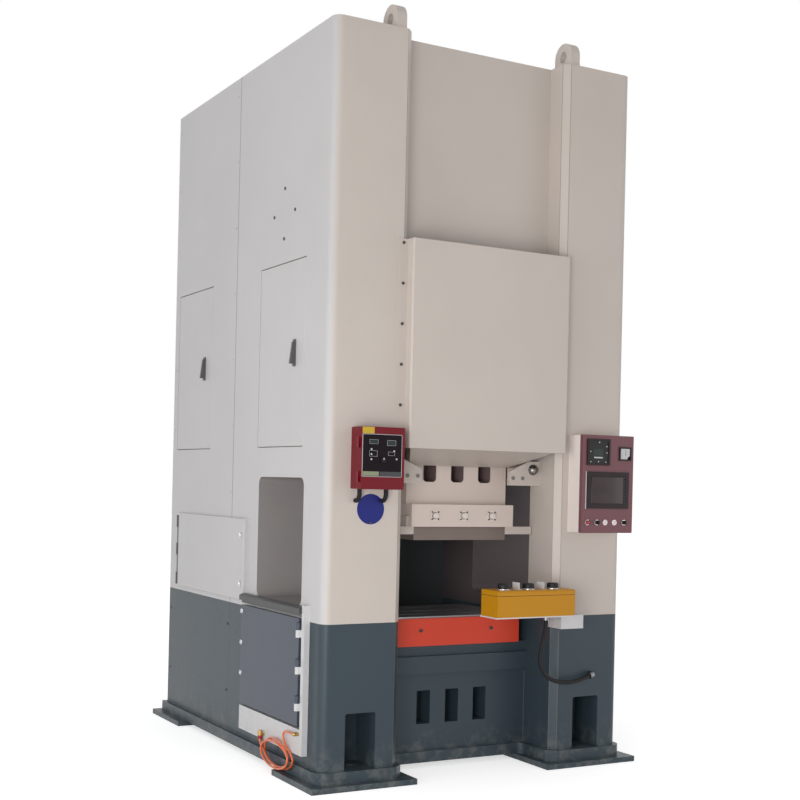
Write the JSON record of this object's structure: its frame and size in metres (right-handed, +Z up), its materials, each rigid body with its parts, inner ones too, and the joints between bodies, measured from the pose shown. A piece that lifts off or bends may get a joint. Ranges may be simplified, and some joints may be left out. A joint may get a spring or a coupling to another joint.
{
  "type": "hydraulic forging press",
  "caption": "Closed straight-side hydraulic press with a guided slide over a slotted bolster, a rear power-unit casing, side doors, a control panel and a two-hand control.",
  "frame": {"origin": "middle of the bounding box on the floor, under the foot plates", "axes": "+X to the operator's right, +Y from the operator to the back, +Z up"},
  "size_m": [1.92, 2.47, 3.83],
  "materials": {
    "cream_paint": "satin cream enamel over the welded frame, teal-grey below the paint line",
    "casing_paint": "satin cream enamel on sheet, teal-grey below the paint line",
    "teal_paint": "satin teal-grey enamel",
    "white_paint": "satin white powder coat",
    "orange_paint": "satin orange-red enamel",
    "yellow_paint": "satin yellow enamel, lightly scuffed",
    "red_paint": "satin red enamel",
    "burgundy_paint": "satin burgundy enamel",
    "grey_paint": "satin grey enamel",
    "ground_steel": "ground or machined steel with a film of oil",
    "plated_steel": "hard-chromed and zinc-plated steel",
    "cast_metal": "as-cast iron",
    "dark_steel": "dark stove enamel",
    "black_rubber": "matt black rubber",
    "black_plastic": "matt black plastic",
    "pale_plastic": "matt pale grey plastic",
    "red_plastic": "glossy red plastic",
    "orange_hose": "orange polyurethane hose",
    "brass_fitting": "bare brass"
  },
  "bodies": {
    "frame": {"left_upright": "cream_paint", "right_upright": "cream_paint", "crown": "cream_paint", "bed": "teal_paint", "base_flange": "teal_paint", "foot_plates": "teal_paint", "lifting_lugs": "cream_paint", "bolster": "ground_steel", "bolster_front_plate": "orange_paint", "die_space_back_plate": "grey_paint", "gib_rails": "ground_steel", "gib_blocks": "cream_paint", "slide_cover": "cream_paint", "cylinder_barrel": "grey_paint", "cylinder_gland": "ground_steel", "left_rear_panel": "casing_paint", "right_rear_panel": "casing_paint", "back_panel": "casing_paint", "roof_plate": "casing_paint", "hinge_knuckles": "white_paint", "guard_frame": "white_paint", "guard_rail": "dark_steel", "monitor_case": "red_paint", "conduit_elbows": "black_rubber", "control_box": "cream_paint", "twohand_box": "yellow_paint", "twohand_bracket": "white_paint", "button_guards": "white_paint", "control_hose": "black_rubber", "hose_glands": "pale_plastic", "air_hose_lead": "orange_hose", "air_hose_coil": "orange_hose", "air_fittings": "brass_fitting", "oil_tank": "grey_paint", "pump_motor": "cast_metal", "hydraulic_pump": "cast_metal", "valve_block": "ground_steel", "pressure_pipes": "plated_steel", "electrical_plate": "plated_steel", "electrical_modules": "pale_plastic"},
    "slide": {"slide": "cream_paint", "clamp_bolts": "cream_paint", "upper_die_plate": "ground_steel", "limit_bars": "cream_paint", "piston_rod": "plated_steel"},
    "front_side_door": {"front_side_door": "casing_paint", "front_door_handle": "black_plastic"},
    "rear_side_door": {"rear_side_door": "casing_paint", "rear_door_handle": "black_plastic"},
    "lower_side_door": {"lower_side_door": "casing_paint"},
    "guard_panel": {"guard_panel": "teal_paint"},
    "monitor_door": {"monitor_door": "red_paint"},
    "control_door": {"control_door": "burgundy_paint", "panel_displays": "black_plastic"},
    "panel_button": {"panel_button": "red_plastic"},
    "panel_selector_left": {"panel_selector_left": "black_plastic"},
    "panel_selector_right": {"panel_selector_right": "black_plastic"},
    "palm_button_left": {"palm_button_left": "black_plastic"},
    "palm_button_middle": {"palm_button_middle": "black_plastic"},
    "palm_button_right": {"palm_button_right": "black_plastic"}
  },
  "joints": [
    {"name": "slide_stroke", "type": "slide", "parent": "frame", "child": "slide", "axis": [0, 0, 1], "range_m": [-0.18, 0]},
    {"name": "front_side_door_hinge", "type": "hinge", "parent": "frame", "child": "front_side_door", "pos_m": [-0.89, -0.178, 2.1125], "axis": [0, 0, -1], "range_deg": [0, 110]},
    {"name": "rear_side_door_hinge", "type": "hinge", "parent": "frame", "child": "rear_side_door", "pos_m": [-0.89, 1.089, 2.1125], "axis": [0, 0, -1], "range_deg": [0, 110]},
    {"name": "lower_side_door_hinge", "type": "hinge", "parent": "frame", "child": "lower_side_door", "pos_m": [-0.902, 0.999, 1.04], "axis": [0, 0, -1], "range_deg": [0, 110]},
    {"name": "guard_panel_hinge", "type": "hinge", "parent": "frame", "child": "guard_panel", "pos_m": [-0.932, -0.833, 0.5375], "axis": [0, 0, 1], "range_deg": [0, 100]},
    {"name": "monitor_door_hinge", "type": "hinge", "parent": "frame", "child": "monitor_door", "pos_m": [-0.7653, -1.1, 1.589], "axis": [0, 0, -1], "range_deg": [0, 120]},
    {"name": "control_door_hinge", "type": "hinge", "parent": "frame", "child": "control_door", "pos_m": [0.8743, -1.111, 1.49], "axis": [0, 0, 1], "range_deg": [0, 110]},
    {"name": "panel_button_press", "type": "slide", "parent": "control_door", "child": "panel_button", "axis": [0, 1, 0], "range_m": [0, 0.004], "stiffness_N_per_m": 400},
    {"name": "panel_selector_left_turn", "type": "hinge", "parent": "control_door", "child": "panel_selector_left", "pos_m": [0.6325, -1.135, 1.28851], "axis": [0, -1, 0], "range_deg": [-45, 45]},
    {"name": "panel_selector_right_turn", "type": "hinge", "parent": "control_door", "child": "panel_selector_right", "pos_m": [0.81005, -1.135, 1.28851], "axis": [0, -1, 0], "range_deg": [-45, 45]},
    {"name": "palm_button_left_press", "type": "slide", "parent": "frame", "child": "palm_button_left", "axis": [0, 0, -1], "range_m": [0, 0.006], "stiffness_N_per_m": 600},
    {"name": "palm_button_middle_press", "type": "slide", "parent": "frame", "child": "palm_button_middle", "axis": [0, 0, -1], "range_m": [0, 0.006], "stiffness_N_per_m": 600},
    {"name": "palm_button_right_press", "type": "slide", "parent": "frame", "child": "palm_button_right", "axis": [0, 0, -1], "range_m": [0, 0.006], "stiffness_N_per_m": 600}
  ]
}
